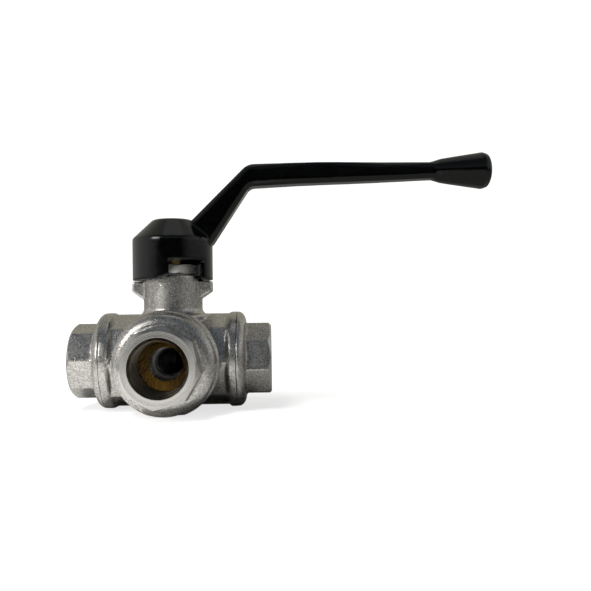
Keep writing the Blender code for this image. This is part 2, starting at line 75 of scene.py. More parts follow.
# Body
RUN_CORNER_RADIUS = 18.2 * MM
RIM_START, RIM_END = 22.8 * MM, 25.4 * MM
BOSS_RADIUS = 19.9 * MM
BOSS_START, BOSS_END = 18.5 * MM, 21.6 * MM
LOWEST_FORGED = -0.25 * MM
FACING = 0.5 * MM
CHAMBER_RADIUS = 11.4 * MM
NECK_RADIUS = 11.5 * MM
NECK_TOP = 33.2 * MM
GLAND_RADIUS = 8.3 * MM
GLAND_NUT_TURN = 20.6 - 90

# Ball and stem
BALL_RADIUS = 10.3 * MM
BALL_BORE_RADIUS = 5.0 * MM
STEM_RADIUS = 5.0 * MM
STEM_THREAD_RADIUS = 2.95 * MM
STEM_SQUARE = 7.2 * MM

# Handle
HOOD_RADIUS = 15.75 * MM
HOOD_INNER_RADIUS = 13.4 * MM
SKIRT_BOTTOM = 31.4 * MM
HOOD_ROOF = 42.0 * MM
HOOD_SHOULDER = 47.6 * MM
HOOD_TOP = 55.6 * MM
HOOD_TOP_RADIUS = 7.9 * MM
RECESS_RADIUS = 6.15 * MM
RECESS_FLOOR = 50.0 * MM
WINDOW_TOP = 38.9 * MM
KNOB_START = 105.0 * MM
KNOB_AXIS = 74.4 * MM

DIRECTIONS = {"left": Vector((-1, 0, 0)), "right": Vector((1, 0, 0)), "front": Vector((0, -1, 0))}
REAR = Vector((0, 1, 0))
VALVE, HANDLE = "valve", "handle_and_ball"


# ---- Shapes ---------------------------------------------------------------------------------


def mesh_object(name, bm):
    mesh = bpy.data.meshes.new(name)
    bmesh.ops.recalc_face_normals(bm, faces=bm.faces)
    bm.to_mesh(mesh)
    bm.free()
    obj = bpy.data.objects.new(name, mesh)
    bpy.context.scene.collection.objects.link(obj)
    return obj


def turned(profile, steps=160):
    """A bmesh turned about Z from (radius, height) points. An open profile ends on the axis."""
    bm = bmesh.new()
    points = [bm.verts.new((radius, 0, level)) for radius, level in profile]
    closed = profile[0][0] > 0
    edges = [bm.edges.new(pair) for pair in zip(points, points[1:] + points[:1] if closed else points[1:])]
    bmesh.ops.spin(
        bm, geom=points + edges, cent=(0, 0, 0), axis=UP, angle=math.tau, steps=steps, use_merge=True, use_duplicate=False
    )
    bmesh.ops.remove_doubles(bm, verts=bm.verts, dist=1e-6)
    bmesh.ops.recalc_face_normals(bm, faces=bm.faces)
    return bm


def rod(radius, start, end, steps=96):
    return turned([(0, end), (radius, end), (radius, start), (0, start)], steps)


def prism(sides, corner_radius, start, end):
    """A regular prism about Z with a corner on +X."""
    bm = bmesh.new()
    bmesh.ops.create_cone(
        bm, cap_ends=True, segments=sides, radius1=corner_radius, radius2=corner_radius, depth=end - start
    )
    corner = bm.verts[:][0].co
    bmesh.ops.rotate(bm, verts=bm.verts, matrix=Matrix.Rotation(-math.atan2(corner.y, corner.x), 3, "Z"))
    bmesh.ops.translate(bm, verts=bm.verts, vec=(0, 0, (start + end) / 2))
    return bm


def block(low, high):
    bm = bmesh.new()
    bmesh.ops.create_cube(bm, size=1.0)
    low, high = Vector(low), Vector(high)
    bmesh.ops.scale(bm, verts=bm.verts, vec=high - low)
    bmesh.ops.translate(bm, verts=bm.verts, vec=(low + high) / 2)
    return bm


def plate(outline, half_width):
    """A plate in the XZ plane from (x, z) points, its thickness along Y."""
    bm = bmesh.new()
    face = bm.faces.new([bm.verts.new((x, -half_width, z)) for x, z in outline])
    raised = bmesh.ops.extrude_face_region(bm, geom=[face])["geom"]
    bmesh.ops.translate(bm, verts=[v for v in raised if isinstance(v, bmesh.types.BMVert)], vec=(0, 2 * half_width, 0))
    bmesh.ops.recalc_face_normals(bm, faces=bm.faces)
    return bm


def thread_ridge(radius, depth, start, end, pitch=THREAD_PITCH, steps=60):
    """A closed ridge that winds about Z, standing out by depth from radius (inwards where depth is negative)."""
    root, half = radius - depth * 0.25, pitch * 0.46
    bm = bmesh.new()
    tip = radius + depth
    section = [(root, -half), (tip, -pitch * 0.07), (tip, pitch * 0.07), (root, half)]
    face = bm.faces.new([bm.verts.new((r, 0, start + z)) for r, z in section])
    turns = (end - start) / pitch
    count = int(turns * steps)
    bmesh.ops.spin(
        bm,
        geom=[face] + face.edges[:] + face.verts[:],
        cent=(0, 0, 0),
        axis=UP,
        dvec=(0, 0, (end - start) / count),
        angle=math.tau * turns,
        steps=count,
        use_merge=False,
        use_duplicate=False,
    )
    bmesh.ops.remove_doubles(bm, verts=bm.verts, dist=1e-7)
    bmesh.ops.recalc_face_normals(bm, faces=bm.faces)
    return bm


def placed(bm, matrix):
    bmesh.ops.transform(bm, matrix=matrix, verts=bm.verts)
    return bm


def joined(*shapes):
    """One bmesh that holds every shape, each still a closed shell."""
    whole = bmesh.new()
    for shape in shapes:
        mesh = bpy.data.meshes.new("shell")
        shape.to_mesh(mesh)
        shape.free()
        whole.from_mesh(mesh)
        bpy.data.meshes.remove(mesh)
    return whole


def apply_modifiers(obj):
    mesh = bpy.data.meshes.new_from_object(obj.evaluated_get(bpy.context.evaluated_depsgraph_get()))
    old = obj.data
    obj.modifiers.clear()
    obj.data = mesh
    bpy.data.meshes.remove(old)
    return obj


def cut_from(obj, *shapes):
    """Takes each closed shape out of the piece."""
    tools = []
    for index, shape in enumerate(shapes):
        tool = mesh_object(f"{obj.name}_tool{index}", shape)
        tools.append(tool)
        boolean = obj.modifiers.new(tool.name, "BOOLEAN")
        boolean.operation, boolean.solver, boolean.object = "DIFFERENCE", "EXACT", tool
    bpy.context.view_layer.update()
    apply_modifiers(obj)
    for tool in tools:
        bpy.data.objects.remove(tool)
    return obj


def united(obj, shape):
    """Runs a closed shape into the piece."""
    tool = mesh_object(f"{obj.name}_addition", shape)
    union = obj.modifiers.new("addition", "BOOLEAN")
    union.operation, union.solver, union.object = "UNION", "EXACT", tool
    bpy.context.view_layer.update()
    apply_modifiers(obj)
    bpy.data.objects.remove(tool)
    return obj


def cast(name, shape, grid, softening):
    """A casting or forging: shells run together, with their corners rounded and their joints filleted."""
    obj = mesh_object(name, shape)
    remesh = obj.modifiers.new("skin", "REMESH")
    remesh.mode, remesh.voxel_size, remesh.adaptivity = "VOXEL", grid, 0.0
    smooth = obj.modifiers.new("soften", "SMOOTH")
    smooth.iterations, smooth.factor = softening, 0.5
    bpy.context.view_layer.update()
    return apply_modifiers(obj)


def uneven(obj, amount):
    """Makes the forged or cast skin, which has the first material, a little uneven."""
    broad, narrow = 1 / (6 * MM), 1 / (1.3 * MM)
    mesh = obj.data
    machined = {corner for face in mesh.polygons if face.material_index for corner in face.vertices}
    shifts = {}
    for vertex in mesh.vertices:
        if vertex.index not in machined:
            lump = noise.noise(vertex.co * broad) + 0.45 * noise.noise(vertex.co * narrow)
            shifts[vertex.index] = vertex.normal * (lump * amount)
    for index, shift in shifts.items():
        mesh.vertices[index].co += shift
    return obj


def rounded(obj, width, segments=3, angle=40):
    bevel = obj.modifiers.new("edge", "BEVEL")
    bevel.width, bevel.segments = width, segments
    bevel.limit_method, bevel.angle_limit = "ANGLE", math.radians(angle)
    bpy.context.view_layer.update()
    return apply_modifiers(obj)


def shaded(obj, angle=32):
    obj.data.shade_smooth()
    obj.data.set_sharp_from_angle(angle=math.radians(angle))
    return obj


def stands_for(obj, node, body):
    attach(obj, body)
    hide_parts(node)
    return obj


def port_frame(direction, turn=0.0):
    """Z out of the port from the ball's centre, with X level and turned about the port by degrees."""
    level = Vector((1, 0, 0)) if abs(direction.y) > 0.5 else Vector((0, -1, 0))
    across = math.cos(math.radians(turn)) * level + math.sin(math.radians(turn)) * UP
    axes = Matrix((across, direction.cross(across), direction)).transposed().to_4x4()
    return Matrix.Translation((0, 0, PORT_HEIGHT)) @ axes


def about_stem(degrees):
    return Matrix.Rotation(math.radians(degrees), 4, "Z")


def level(above_port):
    return PORT_HEIGHT + above_port


def arc(centre, radius, start, end, count):
    angles = [math.radians(start + (end - start) * i / (count - 1)) for i in range(count)]
    return [(centre[0] + radius * math.cos(a), centre[1] + radius * math.sin(a)) for a in angles]


# ---- Finishes -----------------------------------------------------------------------------------


def group_socket(group, name, direction, kind="NodeSocketFloat", default=None):
    socket = group.interface.new_socket(name=name, in_out=direction, socket_type=kind)
    if default is not None:
        socket.default_value = default
    return socket


def linked(tree, kind, **settings):
    """A new node. A setting is an input's name with its value or the socket that feeds it, or a property."""
    node = tree.nodes.new(kind)
    for key, value in settings.items():
        name = key.replace("_", " ")
        match = next((s for s in node.inputs if s.name.lower() == name.lower() and s.enabled), None)
        if key.startswith("in") and key[2:].isdigit():
            match = node.inputs[int(key[2:])]
        if match is None:
            setattr(node, key, value)
        elif isinstance(value, bpy.types.NodeSocket):
            tree.links.new(value, match)
        else:
            match.default_value = value
    return node


def new_group(name, inputs, outputs):
    group = bpy.data.node_groups.new(name, "ShaderNodeTree")
    for label, default in inputs.items():
        group_socket(group, label, "INPUT", default=default)
    for label, kind in outputs.items():
        group_socket(group, label, "OUTPUT", kind)
    return group, group.nodes.new("NodeGroupInput"), group.nodes.new("NodeGroupOutput")


def math_node(tree, operation, a, b=0.0, clamp=False):
    node = tree.nodes.new("ShaderNodeMath")
    node.operation, node.use_clamp = operation, clamp
    for socket, value in zip(node.inputs, (a, b)):
        if isinstance(value, bpy.types.NodeSocket):
            tree.links.new(value, socket)
        else:
            socket.default_value = value
    return node.outputs[0]


def remapped(tree, value, low, high, to_low=0.0, to_high=1.0):
    node = tree.nodes.new("ShaderNodeMapRange")
    tree.links.new(value, node.inputs["Value"])
    for name, number in (("From Min", low), ("From Max", high), ("To Min", to_low), ("To Max", to_high)):
        node.inputs[name].default_value = number
    return node.outputs["Result"]


def blast_grain_group():
    """Shot-blasted forging skin: shallow dimples with finer grit between them, stronger in some patches."""
    group, given, out = new_group(
        "blast_grain",
        {"Dimple Scale": 1500.0, "Grit Scale": 4200.0, "Grit Share": 0.35},
        {"Height": "NodeSocketFloat", "Mask": "NodeSocketFloat", "Speck": "NodeSocketFloat"},
    )
    place = group.nodes.new("ShaderNodeTexCoord").outputs["Object"]
    dimples = linked(group, "ShaderNodeTexNoise", Vector=place, Scale=given.outputs["Dimple Scale"], Detail=1.5)
    dimples.inputs["Roughness"].default_value = 0.6
    grit = linked(group, "ShaderNodeTexNoise", Vector=place, Scale=given.outputs["Grit Scale"], Detail=2.0)
    rough_height = math_node(group, "MULTIPLY", grit.outputs["Fac"], given.outputs["Grit Share"])
    whole = math_node(group, "ADD", dimples.outputs["Fac"], rough_height)
    patches = linked(group, "ShaderNodeTexNoise", Vector=place, Scale=230.0, Detail=3.0).outputs["Fac"]
    depth = remapped(group, patches, 0.35, 0.65, 0.55, 1.0)
    group.links.new(math_node(group, "MULTIPLY", whole, depth), out.inputs["Height"])
    group.links.new(patches, out.inputs["Mask"])
    group.links.new(remapped(group, dimples.outputs["Fac"], 0.38, 0.62), out.inputs["Speck"])
    return group


def worn_edge_group():
    """1 on rubbed outer corners and 0 elsewhere, broken up so that the wear isn't even."""
    group, given, out = new_group(
        "worn_edge", {"Start": 0.52, "End": 0.60, "Breakup": 0.06}, {"Mask": "NodeSocketFloat"}
    )
    place = group.nodes.new("ShaderNodeTexCoord").outputs["Object"]
    corner = group.nodes.new("ShaderNodeNewGeometry").outputs["Pointiness"]
    patch = linked(group, "ShaderNodeTexNoise", Vector=place, Scale=700.0, Detail=3.0).outputs["Fac"]
    shift = math_node(group, "MULTIPLY", math_node(group, "SUBTRACT", patch, 0.5), given.outputs["Breakup"])
    value = math_node(group, "ADD", corner, shift)
    spread = group.nodes.new("ShaderNodeMapRange")
    group.links.new(value, spread.inputs["Value"])
    group.links.new(given.outputs["Start"], spread.inputs["From Min"])
    group.links.new(given.outputs["End"], spread.inputs["From Max"])
    group.links.new(spread.outputs["Result"], out.inputs["Mask"])
    return group


def lathe_marks_group():
    """Fine rings that a turning tool leaves about the Z axis of the given Place, which callers feed from Object
    coordinates.
    """
    group = bpy.data.node_groups.new("lathe_marks", "ShaderNodeTree")
    group_socket(group, "Place", "INPUT", "NodeSocketVector")
    group_socket(group, "Feed", "INPUT", default=0.00025)
    group_socket(group, "Height", "OUTPUT")
    group_socket(group, "Streak", "OUTPUT")
    given, out = group.nodes.new("NodeGroupInput"), group.nodes.new("NodeGroupOutput")
    split = linked(group, "ShaderNodeSeparateXYZ", Vector=given.outputs["Place"])
    square = [math_node(group, "MULTIPLY", split.outputs[i], split.outputs[i]) for i in (0, 1)]
    radius = math_node(group, "SQRT", math_node(group, "ADD", *square))
    travel = math_node(group, "ADD", radius, split.outputs[2])
    rings = math_node(group, "DIVIDE", travel, given.outputs["Feed"])
    ripple = math_node(group, "SINE", math_node(group, "MULTIPLY", rings, math.tau))
    uneven = group.nodes.new("ShaderNodeTexNoise")
    uneven.noise_dimensions = "1D"
    group.links.new(rings, uneven.inputs["W"])
    uneven.inputs["Scale"].default_value = 0.37
    uneven.inputs["Detail"].default_value = 4.0
    strength = math_node(group, "MULTIPLY", ripple, uneven.outputs["Fac"])
    group.links.new(strength, out.inputs["Height"])
    group.links.new(uneven.outputs["Fac"], out.inputs["Streak"])
    return group


def new_material(name, colour, metallic, roughness):
    material = bpy.data.materials.new(name)
    material.use_nodes = True
    shader = material.node_tree.nodes["Principled BSDF"]
    shader.inputs["Base Color"].default_value = (*colour, 1)
    shader.inputs["Metallic"].default_value = metallic
    shader.inputs["Roughness"].default_value = roughness
    return material, material.node_tree, shader


def use_group(tree, name, **values):
    node = tree.nodes.new("ShaderNodeGroup")
    node.node_tree = bpy.data.node_groups[name]
    for key, value in values.items():
        socket = node.inputs[key.replace("_", " ")]
        if isinstance(value, bpy.types.NodeSocket):
            tree.links.new(value, socket)
        else:
            socket.default_value = value
    return node


def bumped(tree, shader, height, distance, strength=1.0, before=None):
    bump = tree.nodes.new("ShaderNodeBump")
    bump.inputs["Strength"].default_value = strength
    bump.inputs["Distance"].default_value = distance
    tree.links.new(height, bump.inputs["Height"])
    if before is not None:
        tree.links.new(before, bump.inputs["Normal"])
    tree.links.new(bump.outputs["Normal"], shader.inputs["Normal"])
    return bump.outputs["Normal"]


def mixed_colour(tree, mask, plain, marked):
    mix = tree.nodes.new("ShaderNodeMix")
    mix.data_type = "RGBA"
    tree.links.new(mask, mix.inputs["Factor"])
    for socket, value in ((mix.inputs[6], plain), (mix.inputs[7], marked)):
        if isinstance(value, bpy.types.NodeSocket):
            tree.links.new(value, socket)
        else:
            socket.default_value = (*value, 1)
    return mix.outputs[2]


def forged_nickel():
    """Nickel over a blasted brass forging, a little brighter where the corners are rubbed."""
    material, tree, shader = new_material("forged_nickel", (0.56, 0.54, 0.51), 1.0, 0.32)
    grain = use_group(tree, "blast_grain", Dimple_Scale=1650.0, Grit_Scale=4200.0, Grit_Share=0.35)
    worn = use_group(tree, "worn_edge", Start=0.515, End=0.60, Breakup=0.05).outputs["Mask"]
    tone = mixed_colour(tree, grain.outputs["Speck"], (0.40, 0.385, 0.36), (0.70, 0.68, 0.64))
    colour = mixed_colour(tree, worn, tone, (0.78, 0.76, 0.72))
    tree.links.new(colour, shader.inputs["Base Color"])
    rough = remapped(tree, grain.outputs["Mask"], 0.3, 0.7, 0.36, 0.24)
    tree.links.new(rough, shader.inputs["Roughness"])
    bumped(tree, shader, grain.outputs["Height"], 0.00009, 1.0)
    return material


def turned_nickel(name, axis):
    """Nickel over a turned face, with tool rings about the port's or the stem's axis."""
    material, tree, shader = new_material(name, (0.62, 0.60, 0.57), 1.0, 0.22)
    place = tree.nodes.new("ShaderNodeMapping")
    place.vector_type = "POINT"
    coordinates = tree.nodes.new("ShaderNodeTexCoord").outputs["Object"]
    shift = tree.nodes.new("ShaderNodeVectorMath")
    shift.operation = "SUBTRACT"
    tree.links.new(coordinates, shift.inputs[0])
    shift.inputs[1].default_value = (0, 0, PORT_HEIGHT)
    tree.links.new(shift.outputs["Vector"], place.inputs["Vector"])
    place.inputs["Rotation"].default_value = {"x": (0, math.pi / 2, 0), "y": (math.pi / 2, 0, 0), "z": (0, 0, 0)}[axis]
    marks = use_group(tree, "lathe_marks", Place=place.outputs["Vector"], Feed=0.00045)
    rough = remapped(tree, marks.outputs["Streak"], 0.3, 0.7, 0.17, 0.30)
    tree.links.new(rough, shader.inputs["Roughness"])
    bumped(tree, shader, marks.outputs["Height"], 0.000009, 1.0)
    return material


def threaded_bore():
    """Tapped brass inside the bore, coloured near-black brown as painted shade in the bore: mottled and dull."""
    material, tree, shader = new_material("threaded_bore", (0.20, 0.185, 0.16), 1.0, 0.32)
    place = tree.nodes.new("ShaderNodeTexCoord").outputs["Object"]
    film_and_shade = linked(tree, "ShaderNodeTexNoise", Vector=place, Scale=450.0, Detail=4.0).outputs["Fac"]
    # Both colours are near black: painted shade inside the bore, mottled at random.
    tree.links.new(mixed_colour(tree, film_and_shade, (0.045, 0.042, 0.038), (0.15, 0.125, 0.09)), shader.inputs["Base Color"])
    tree.links.new(remapped(tree, film_and_shade, 0.3, 0.7, 0.24, 0.42), shader.inputs["Roughness"])
    return material


def satin_nickel():
    """Nickel over a drawn steel hexagon: even, satin, with faint drawing lines up the flats."""
    material, tree, shader = new_material("satin_nickel", (0.93, 0.92, 0.89), 1.0, 0.42)
    place = tree.nodes.new("ShaderNodeTexCoord").outputs["Object"]
    stretch = tree.nodes.new("ShaderNodeMapping")
    stretch.inputs["Scale"].default_value = (1.0, 1.0, 0.12)
    tree.links.new(place, stretch.inputs["Vector"])
    lines = linked(tree, "ShaderNodeTexNoise", Vector=stretch.outputs["Vector"], Scale=3200.0, Detail=3.0)
    tree.links.new(remapped(tree, lines.outputs["Fac"], 0.3, 0.7, 0.48, 0.60), shader.inputs["Roughness"])
    bumped(tree, shader, lines.outputs["Fac"], 0.00003, 0.6)
    return material


def black_coating():
    """Thick gloss black coating over a casting, with a faint orange peel and fine dust nibs."""
    material, tree, shader = new_material("black_coating", (0.0006, 0.0006, 0.0007), 0.0, 0.14)
    place = tree.nodes.new("ShaderNodeTexCoord").outputs["Object"]
    peel = linked(tree, "ShaderNodeTexNoise", Vector=place, Scale=330.0, Detail=2.0)
    fine = linked(tree, "ShaderNodeTexNoise", Vector=place, Scale=1700.0, Detail=3.0)
    first = bumped(tree, shader, peel.outputs["Fac"], 0.00006, 0.5)
    bumped(tree, shader, fine.outputs["Fac"], 0.000012, 0.5, first)
    rough = remapped(tree, peel.outputs["Fac"], 0.3, 0.7, 0.11, 0.18)
    tree.links.new(rough, shader.inputs["Roughness"])
    shader.inputs["Specular IOR Level"].default_value = 0.5
    return material


def drilled_bore():
    """The ball's bore: drilled and dull, coloured near black as painted shade inside the bore."""
    material, tree, shader = new_material("drilled_bore", (0.10, 0.10, 0.105), 1.0, 0.45)
    place = tree.nodes.new("ShaderNodeTexCoord").outputs["Object"]
    stain_and_shade = linked(tree, "ShaderNodeTexNoise", Vector=place, Scale=600.0, Detail=4.0).outputs["Fac"]
    # Near-black colours: painted shade inside the bore, mottled at random.
    tree.links.new(mixed_colour(tree, stain_and_shade, (0.03, 0.03, 0.032), (0.07, 0.07, 0.07)), shader.inputs["Base Color"])
    tree.links.new(remapped(tree, stain_and_shade, 0.3, 0.7, 0.38, 0.55), shader.inputs["Roughness"])
    return material


def polished_chrome():
    material, tree, shader = new_material("polished_chrome", (0.68, 0.68, 0.69), 1.0, 0.07)
    place = tree.nodes.new("ShaderNodeTexCoord").outputs["Object"]
    haze = linked(tree, "ShaderNodeTexNoise", Vector=place, Scale=500.0, Detail=4.0).outputs["Fac"]
    tree.links.new(remapped(tree, haze, 0.35, 0.7, 0.05, 0.14), shader.inputs["Roughness"])
    return material


def machined_brass():
    material, tree, shader = new_material("machined_brass", (0.60, 0.44, 0.20), 1.0, 0.28)
    place = tree.nodes.new("ShaderNodeTexCoord").outputs["Object"]
    marks = use_group(tree, "lathe_marks", Place=place, Feed=0.0003)
    bumped(tree, shader, marks.outputs["Height"], 0.000005, 0.5)
    tree.links.new(remapped(tree, marks.outputs["Streak"], 0.3, 0.7, 0.2, 0.36), shader.inputs["Roughness"])
    return material


def zinc_plate():
    """Bright zinc on a cold-formed nut and a spring washer, with a faint blue cast and mottling."""
    material, tree, shader = new_material("zinc_plate", (0.60, 0.63, 0.66), 1.0, 0.30)
    place = tree.nodes.new("ShaderNodeTexCoord").outputs["Object"]
    spangle = linked(tree, "ShaderNodeTexNoise", Vector=place, Scale=900.0, Detail=5.0).outputs["Fac"]
    tree.links.new(mixed_colour(tree, spangle, (0.50, 0.53, 0.57), (0.70, 0.71, 0.72)), shader.inputs["Base Color"])
    tree.links.new(remapped(tree, spangle, 0.3, 0.7, 0.22, 0.42), shader.inputs["Roughness"])
    bumped(tree, shader, spangle, 0.00001, 0.5)
    return material


def white_ptfe():
    material, tree, shader = new_material("white_ptfe", (0.80, 0.80, 0.78), 0.0, 0.42)
    place = tree.nodes.new("ShaderNodeTexCoord").outputs["Object"]
    cloud = linked(tree, "ShaderNodeTexNoise", Vector=place, Scale=300.0, Detail=3.0).outputs["Fac"]
    tree.links.new(mixed_colour(tree, cloud, (0.74, 0.74, 0.72), (0.84, 0.84, 0.82)), shader.inputs["Base Color"])
    tree.links.new(remapped(tree, cloud, 0.3, 0.7, 0.36, 0.5), shader.inputs["Roughness"])
    shader.inputs["Subsurface Weight"].default_value = 0.1
    shader.inputs["Subsurface Radius"].default_value = (0.001, 0.001, 0.001)
    return material


def seal_rubber():
    material, tree, shader = new_material("seal_rubber", (0.018, 0.018, 0.018), 0.0, 0.55)
    place = tree.nodes.new("ShaderNodeTexCoord").outputs["Object"]
    bloom = linked(tree, "ShaderNodeTexNoise", Vector=place, Scale=800.0, Detail=4.0).outputs["Fac"]
    tree.links.new(remapped(tree, bloom, 0.3, 0.7, 0.45, 0.65), shader.inputs["Roughness"])
    bumped(tree, shader, bloom, 0.00001, 0.5)
    return material


# ---- Ends ---------------------------------------------------------------------------------------


def end_outside():
    """Flange and octagon of one end, as shells along Z."""
    across, along = 4.2 * MM, 3.0 * MM
    quarter = arc((0, 0), 1.0, 90, 0, 13)
    rim = [(0, FLANGE_END)] + [
        (FLANGE_RADIUS - across + r * across, FLANGE_END - along + z * along) for r, z in quarter
    ]
    rim += [(FLANGE_RADIUS, FLANGE_BACK + 0.1 * MM), (FLANGE_RADIUS - 0.1 * MM, FLANGE_BACK), (0, FLANGE_BACK)]
    octagon = prism(8, END_CORNER_RADIUS + 0.12 * MM, FLANGE_BACK + 1 * MM, PORT_REACH + 2 * MM)
    root = 0.9 * MM
    apothem = END_CORNER_RADIUS * math.cos(math.pi / 8)
    foot = turned([(0, FLANGE_END + root), (apothem, FLANGE_END + root), (apothem + root, FLANGE_END), (0, FLANGE_END)])
    return joined(turned(rim), octagon, foot)


def end_machining():
    """What the lathe takes off one end: the face, its chamfer, the bore with its thread, and the back."""
    beyond = 4 * MM
    drop = (END_CORNER_RADIUS - END_FACE_RADIUS) * 0.75
    facing = turned(
        [
            (0, PORT_REACH + beyond),
            (END_CORNER_RADIUS + beyond, PORT_REACH + beyond),
            (END_CORNER_RADIUS + beyond, PORT_REACH - drop - beyond * 0.75),
            (END_CORNER_RADIUS, PORT_REACH - drop),
            (END_FACE_RADIUS, PORT_REACH),
            (0, PORT_REACH),
        ]
    )
    countersink = (MOUTH_RADIUS - THREAD_RADIUS) * 1.25
    bore = turned(
        [
            (0, PORT_REACH + 1 * MM),
            (MOUTH_RADIUS, PORT_REACH + 1 * MM),
            (MOUTH_RADIUS, PORT_REACH),
            (THREAD_RADIUS, PORT_REACH - countersink),
            (THREAD_RADIUS, THREAD_END),
            (THROAT_RADIUS + 1.2 * MM, THREAD_END - 2.2 * MM),
            (THROAT_RADIUS, THROAT_START),
            (THROAT_RADIUS, SEAT_BACK + FIT_GAP),
            (SEAT_RADIUS + FIT_GAP, SEAT_BACK + FIT_GAP),
            (SEAT_RADIUS + FIT_GAP, SEAT_BACK - 6 * MM),
            (0, SEAT_BACK - 6 * MM),
        ]
    )
    thread = thread_ridge(THREAD_RADIUS, 0.95 * MM, THREAD_END + 1.6 * MM, PORT_REACH + 0.3 * MM)
    return facing, bore, thread


def end_spigot():
    """The male thread's cylinder and the nose that holds the seat."""
    nose = SEAT_RADIUS + 3 * FIT_GAP
    return turned(
        [
            (0, FLANGE_BACK + 1 * MM),
            (SPIGOT_RADIUS, FLANGE_BACK + 1 * MM),
            (SPIGOT_RADIUS, 24.2 * MM),
            (12.3 * MM, 24.2 * MM),
            (12.3 * MM, 22.2 * MM),
            (SPIGOT_RADIUS, 22.2 * MM),
            (SPIGOT_RADIUS, SPIGOT_RADIUS + 2 * FIT_GAP),
            (SEAT_RADIUS + FIT_GAP, nose),
            (0, nose),
        ]
    )


def screwed_end_mesh():
    outside = cast("end_casting", end_outside(), 0.33 * MM, 3)
    united(outside, end_spigot())
    return cut_from(outside, *end_machining())


def mark_turned_faces(mesh):
    """Second material where the lathe cut, third where the thread runs out in bare brass, fourth on the thread."""
    for face in mesh.polygons:
        radius, along = math.hypot(face.center.x, face.center.y), face.center.z
        faced = along > PORT_REACH - 0.02 * MM or (face.normal.z > 0.3 and along > FLANGE_END + 3 * MM)
        bored = radius < MOUTH_RADIUS + 0.02 * MM
        runout = bored and THROAT_START - 0.1 * MM < along < THREAD_END + 0.1 * MM
        tapped = bored and THREAD_END < along < PORT_REACH - 0.1 * MM
        turned_face = faced or bored or along < FLANGE_BACK - 0.05 * MM
        face.material_index = 2 if runout else 3 if tapped else int(turned_face)


def build_ends():
    source = screwed_end_mesh()
    mark_turned_faces(source.data)
    uneven(source, 0.03 * MM)
    for side, direction in DIRECTIONS.items():
        mesh = source.data.copy()
        mesh.transform(port_frame(direction, END_TURNS[side]))
        obj = bpy.data.objects.new(f"{side}_screwed_end", mesh)
        bpy.context.scene.collection.objects.link(obj)
        mesh.materials.append(MATERIALS["forged"])
        mesh.materials.append(MATERIALS["turned_y" if side == "front" else "turned_x"])
        mesh.materials.append(MATERIALS["brass"])
        mesh.materials.append(MATERIALS["tapped"])
        shaded(obj)
        stands_for(obj, f"{side}_end_adapter", VALVE)
    bpy.data.objects.remove(source)


def build_seats():
    lip, bore = 7.1 * MM, 5.6 * MM
    contact = BALL_RADIUS + FIT_GAP
    radii = [lip + (bore - lip) * i / 8 for i in range(9)]
    face = [(r, math.sqrt(contact * contact - r * r)) for r in radii]
    section = [(bore, SEAT_BACK), (SEAT_RADIUS, SEAT_BACK), (SEAT_RADIUS, SEAT_RADIUS + 2 * FIT_GAP)] + face
    for side, direction in (*DIRECTIONS.items(), ("rear", REAR)):
        seat = mesh_object(f"{side}_seat_ring", placed(turned(section, 96), port_frame(direction)))
        rounded(seat, 0.1 * MM, 2)
        seat.data.materials.append(MATERIALS["ptfe"])
        shaded(seat)
        stands_for(seat, f"{side}_ball_seat", VALVE)


# ---- Body -----------------------------------------------------------------------------------------


def port_rim(side):
    """The round rim behind a flange. The front one swells to a boss on a round barrel."""
    rim = [(0, RIM_END + FACING), (FLANGE_RADIUS, RIM_END + FACING), (FLANGE_RADIUS, RIM_START + 0.3 * MM)]
    if side == "front":
        barrel = RUN_CORNER_RADIUS
        rim += [
            (FLANGE_RADIUS, RIM_START),
            (BOSS_RADIUS, BOSS_END),
            (BOSS_RADIUS, BOSS_START),
            (barrel, BOSS_START - 2 * MM),
        ]
    else:
        barrel = 15.5 * MM
        rim += [(FLANGE_RADIUS - 0.6 * MM, RIM_START - 0.6 * MM), (barrel, RIM_START - 1.6 * MM)]
    return turned(rim + [(barrel, 2 * MM), (0, 2 * MM)])


def neck_column():
    fillet = 2.6 * MM
    foot = level(RUN_CORNER_RADIUS - 0.5 * MM)
    curve = [
        (NECK_RADIUS + fillet - fillet * math.cos(a), foot + fillet - fillet * math.sin(a))
        for a in [math.radians(15 * i) for i in range(7)]
    ]
    return turned(
        [(0, level(NECK_TOP)), (NECK_RADIUS - 0.3 * MM, level(NECK_TOP)), (NECK_RADIUS, level(NECK_TOP - 0.3 * MM))]
        + curve
        + [(curve[-1][0], level(12 * MM)), (0, level(12 * MM))]
    )


def ear(side):
    reach = 15.4 * MM
    outline = [(9, 23.0), (NECK_RADIUS / MM + 0.5, 24.6), (reach / MM, 27.0), (reach / MM, 31.1), (9, 31.1)]
    return plate([(side * x * MM, level(z * MM)) for x, z in outline], 5.0 * MM)


